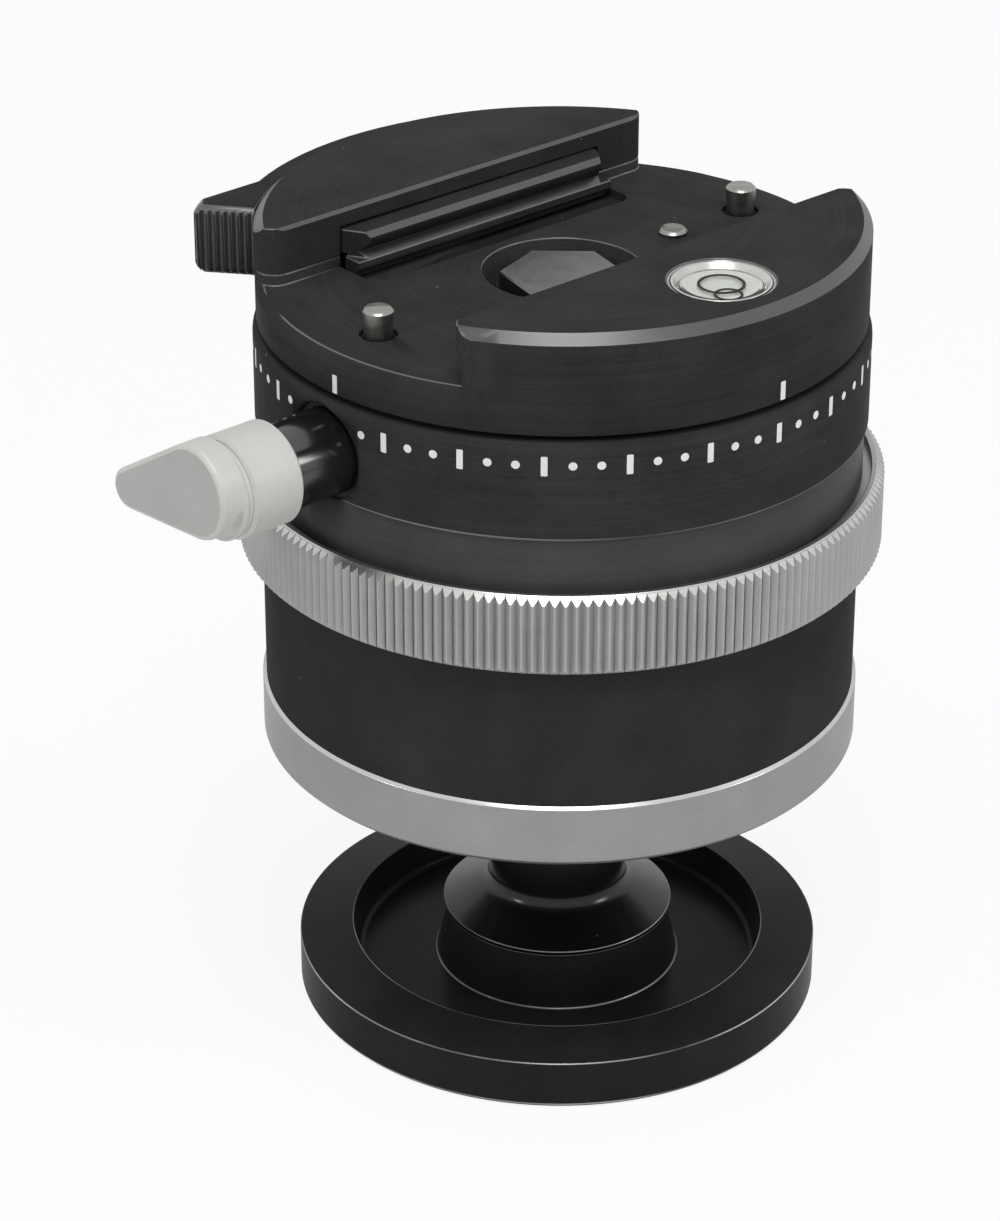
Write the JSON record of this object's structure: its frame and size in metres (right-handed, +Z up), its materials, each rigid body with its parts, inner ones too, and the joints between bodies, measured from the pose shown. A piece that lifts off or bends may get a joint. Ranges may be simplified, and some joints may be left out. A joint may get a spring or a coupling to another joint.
{
  "type": "ball head",
  "caption": "Compact inverted ball head on a dished foot, with a knurled lock ring, a graduated pan base with a lock knob, and a lever clamp for camera plates.",
  "frame": {"origin": "centre of the foot's underside, on the tripod thread's axis", "axes": "+Z up through the ball and the clamp, X along the plate channel with the pan lock knob at -X, -Y towards the fixed jaw with the round level"},
  "size_m": [0.0752, 0.0621, 0.0827],
  "materials": {
    "black_anodised": "satin black anodised, fine turned lines",
    "black_gloss": "semi-gloss black",
    "silver_anodised": "satin silver anodised",
    "knob_alloy": "bead blasted",
    "steel": "ground",
    "dark_steel": "blackened",
    "bronze": "turned",
    "slip_plastic": "matte",
    "level_liquid": "clear liquid",
    "level_glass": "clear"
  },
  "bodies": {
    "base": {"base_plate": "black_gloss", "stem": "black_gloss", "tripod_bush": "steel", "ball_screw": "dark_steel"},
    "ball": {"ball": "black_anodised"},
    "seat": {"ball_seat": "slip_plastic"},
    "head": {"housing": "black_anodised", "bottom_ring": "silver_anodised", "scale_body": "black_anodised", "preload_spring": "steel", "pan_retainer": "silver_anodised", "pan_lower_washer": "slip_plastic", "pan_upper_washer": "slip_plastic", "spindle_bush": "bronze"},
    "lock_ring": {"lock_ring": "silver_anodised", "drive_pins": "steel", "pressure_cup": "bronze"},
    "pan_knob": {"pan_knob": "knob_alloy", "pan_spindle": "black_anodised"},
    "pan_shoe": {"pan_shoe": "bronze"},
    "clamp": {"pan_rotor": "silver_anodised", "clamp_base": "black_anodised", "clamp_block": "black_anodised", "block_screws": "dark_steel", "clamp_bolt": "dark_steel", "bolt_washer": "steel", "locating_dowel": "steel", "level_case": "steel", "level_fluid": "level_liquid", "level_lens": "level_glass", "lever_pivot": "steel", "pin_plugs": "steel", "pin_spring_left": "steel", "pin_spring_right": "steel"},
    "lever": {"clamp_lever": "black_anodised", "crank_pin": "steel"},
    "jaw": {"clamp_jaw": "black_anodised", "jaw_guides": "steel"},
    "pin_left": {"safety_pin_left": "steel"},
    "pin_right": {"safety_pin_right": "steel"}
  },
  "joints": [
    {"name": "ball_swivel", "type": "hinge", "parent": "base", "child": "ball", "pos_m": [0, 0, 0.0395], "axis": [0, 0, 1], "continuous": true},
    {"name": "head_tilt", "type": "hinge", "parent": "ball", "child": "seat", "pos_m": [0, 0, 0.0395], "axis": [1, 0, 0], "range_deg": [-38, 38]},
    {"name": "head_turn", "type": "hinge", "parent": "seat", "child": "head", "pos_m": [0, 0, 0.0395], "axis": [0, 0, 1], "continuous": true},
    {"name": "lock_turn", "type": "hinge", "parent": "head", "child": "lock_ring", "pos_m": [0, 0, 0.054], "axis": [0, 0, 1], "range_deg": [0, 45]},
    {"name": "knob_turn", "type": "hinge", "parent": "head", "child": "pan_knob", "pos_m": [-0.03, -0.0001, 0.0671], "axis": [-1, -0.0035, 0], "range_deg": [0, 90]},
    {"name": "shoe_slide", "type": "slide", "parent": "head", "child": "pan_shoe", "axis": [-1, -0.0035, 0], "range_m": [0, 0.0002]},
    {"name": "pan", "type": "hinge", "parent": "head", "child": "clamp", "pos_m": [0, 0, 0.068], "axis": [0, 0, 1], "continuous": true},
    {"name": "lever_swing", "type": "hinge", "parent": "clamp", "child": "lever", "pos_m": [0.012, 0.0225, 0.079], "axis": [0, 0, -1], "range_deg": [0, 75]},
    {"name": "jaw_slide", "type": "slide", "parent": "clamp", "child": "jaw", "axis": [0, 1, 0], "range_m": [0, 0.0024]},
    {"name": "pin_left_press", "type": "slide", "parent": "clamp", "child": "pin_left", "axis": [0, 0, -1], "range_m": [0, 0.0025], "stiffness_N_per_m": 300, "springref_m": -0.002, "deforming": ["pin_spring_left"]},
    {"name": "pin_right_press", "type": "slide", "parent": "clamp", "child": "pin_right", "axis": [0, 0, -1], "range_m": [0, 0.0025], "stiffness_N_per_m": 300, "springref_m": -0.002, "deforming": ["pin_spring_right"]}
  ],
  "couplings": [
    {"joint": "shoe_slide", "follows": "knob_turn", "m_per_rad": 0.00012732},
    {"joint": "jaw_slide", "follows": "lever_swing", "m_per_rad": 0.0018335}
  ]
}
